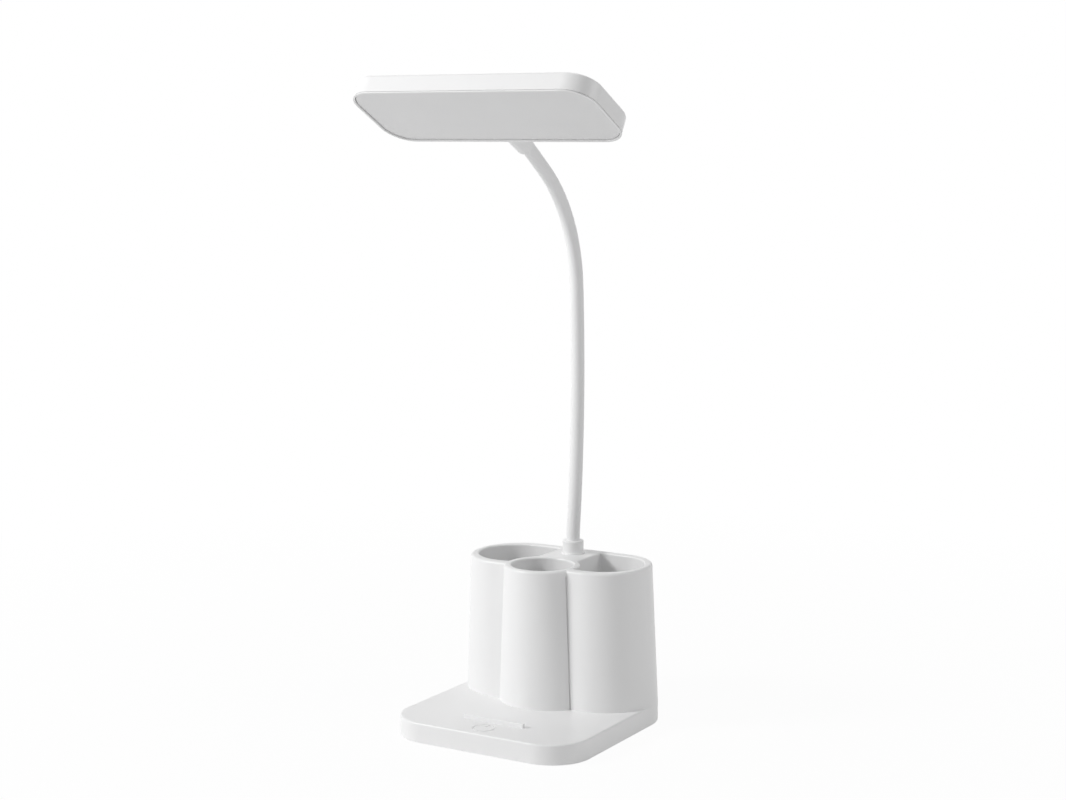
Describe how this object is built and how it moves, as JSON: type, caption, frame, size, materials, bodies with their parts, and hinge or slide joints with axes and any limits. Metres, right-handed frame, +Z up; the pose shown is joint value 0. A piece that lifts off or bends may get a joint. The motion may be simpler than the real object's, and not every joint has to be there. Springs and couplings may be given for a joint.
{
  "type": "desk lamp with pen holder",
  "caption": "Desk lamp with joined pen cups and a phone rest on a flat base, a bendable neck and a flat rectangular light head.",
  "frame": {"origin": "on the desk, at the middle of the base", "axes": "+Z up, -Y towards the user, where the lamp head reaches, +X to the user's right"},
  "size_m": [0.153, 0.1411, 0.3748],
  "materials": {
    "white_shell": "satin moulded",
    "white_sleeve": "smooth soft sleeve",
    "frosted_plate": "frosted",
    "grey_pad": "fine foam",
    "ballast_steel": "rolled",
    "plated_steel": "zinc plated",
    "core_steel": "wound",
    "circuit_board": "solder mask",
    "black_chip": "moulded",
    "nickel_plate": "nickel plated",
    "copper_pad": "etched",
    "cell_wrap": "shrunk film",
    "grey_cradle": "moulded",
    "red_lead": "insulated wire",
    "black_lead": "insulated wire",
    "ribbon": "flat cable",
    "led_yellow": "phosphor"
  },
  "bodies": {
    "base": {"upper_housing": "white_shell", "bottom_cover": "white_shell", "antislip_pad": "grey_pad", "cover_screw_1": "plated_steel", "cover_screw_2": "plated_steel", "cover_screw_3": "plated_steel", "cover_screw_4": "plated_steel", "ballast_left": "ballast_steel", "ballast_right": "ballast_steel", "battery_cradle": "grey_cradle", "cell_contact_bottom": "nickel_plate", "battery_cell": "cell_wrap", "cell_contact_top": "nickel_plate", "lead_plus": "red_lead", "lead_minus": "black_lead", "charge_board": "circuit_board", "charge_chip": "black_chip", "usb_socket": "nickel_plate", "charge_screw_1": "plated_steel", "charge_screw_2": "plated_steel", "touch_board": "circuit_board", "touch_chip": "black_chip", "touch_screw_1": "plated_steel", "touch_screw_2": "plated_steel", "touch_pad": "copper_pad", "touch_spring": "nickel_plate", "ribbon_cable": "ribbon", "neck_collar": "white_shell", "neck_gland": "plated_steel", "neck_washer": "plated_steel", "neck_nut": "plated_steel", "root_sleeve": "white_sleeve", "root_core": "core_steel"},
    "neck_1": {"neck_sleeve_1": "white_sleeve", "neck_core_1": "core_steel"},
    "neck_2": {"neck_sleeve_2": "white_sleeve", "neck_core_2": "core_steel"},
    "neck_3": {"neck_sleeve_3": "white_sleeve", "neck_core_3": "core_steel"},
    "neck_4": {"neck_sleeve_4": "white_sleeve", "neck_core_4": "core_steel"},
    "neck_5": {"neck_sleeve_5": "white_sleeve", "neck_core_5": "core_steel"},
    "neck_6": {"neck_sleeve_6": "white_sleeve", "neck_core_6": "core_steel"},
    "neck_7": {"neck_sleeve_7": "white_sleeve", "neck_core_7": "core_steel"},
    "neck_8": {"neck_sleeve_8": "white_sleeve", "neck_core_8": "core_steel"},
    "head": {"head_shell": "white_shell", "diffuser": "frosted_plate", "led_board": "circuit_board", "led_array": "led_yellow", "led_screw_1": "plated_steel", "led_screw_2": "plated_steel", "head_socket": "white_shell", "tip_sleeve": "white_sleeve", "tip_core": "core_steel"}
  },
  "joints": [
    {"name": "neck_bend_1", "type": "hinge", "parent": "base", "child": "neck_1", "pos_m": [0, 0.0466, 0.106], "axis": [1, 0, 0], "range_deg": [-20, 20]},
    {"name": "neck_sway_1", "type": "hinge", "parent": "neck_1", "child": "neck_2", "pos_m": [0, 0.04959, 0.14305], "axis": [0, 0.9982, -0.0598], "range_deg": [-18, 18]},
    {"name": "neck_bend_2", "type": "hinge", "parent": "neck_2", "child": "neck_3", "pos_m": [0, 0.05105, 0.1802], "axis": [1, 0, 0], "range_deg": [-20, 20]},
    {"name": "neck_sway_2", "type": "hinge", "parent": "neck_3", "child": "neck_4", "pos_m": [0, 0.05096, 0.21737], "axis": [0, 0.9997, 0.023], "range_deg": [-18, 18]},
    {"name": "neck_bend_3", "type": "hinge", "parent": "neck_4", "child": "neck_5", "pos_m": [0, 0.04934, 0.2545], "axis": [1, 0, 0], "range_deg": [-20, 20]},
    {"name": "neck_sway_3", "type": "hinge", "parent": "neck_5", "child": "neck_6", "pos_m": [0, 0.04385, 0.28016], "axis": [0, 0.9371, 0.3491], "range_deg": [-18, 18]},
    {"name": "neck_bend_4", "type": "hinge", "parent": "neck_6", "child": "neck_7", "pos_m": [0, 0.03121, 0.30316], "axis": [1, 0, 0], "range_deg": [-20, 20]},
    {"name": "neck_sway_4", "type": "hinge", "parent": "neck_7", "child": "neck_8", "pos_m": [0, 0.01248, 0.32153], "axis": [0, 0.5888, 0.8082], "range_deg": [-18, 18]},
    {"name": "neck_bend_5", "type": "hinge", "parent": "neck_8", "child": "head", "pos_m": [0, -0.00717, 0.33566], "axis": [1, 0, 0], "range_deg": [-20, 20]}
  ],
  "couplings": [
    {"joint": "neck_bend_2", "follows": "neck_bend_1", "ratio": 1},
    {"joint": "neck_sway_2", "follows": "neck_sway_1", "ratio": 1},
    {"joint": "neck_bend_3", "follows": "neck_bend_1", "ratio": 1},
    {"joint": "neck_sway_3", "follows": "neck_sway_1", "ratio": 1},
    {"joint": "neck_bend_4", "follows": "neck_bend_1", "ratio": 1},
    {"joint": "neck_sway_4", "follows": "neck_sway_1", "ratio": 1},
    {"joint": "neck_bend_5", "follows": "neck_bend_1", "ratio": 1}
  ]
}
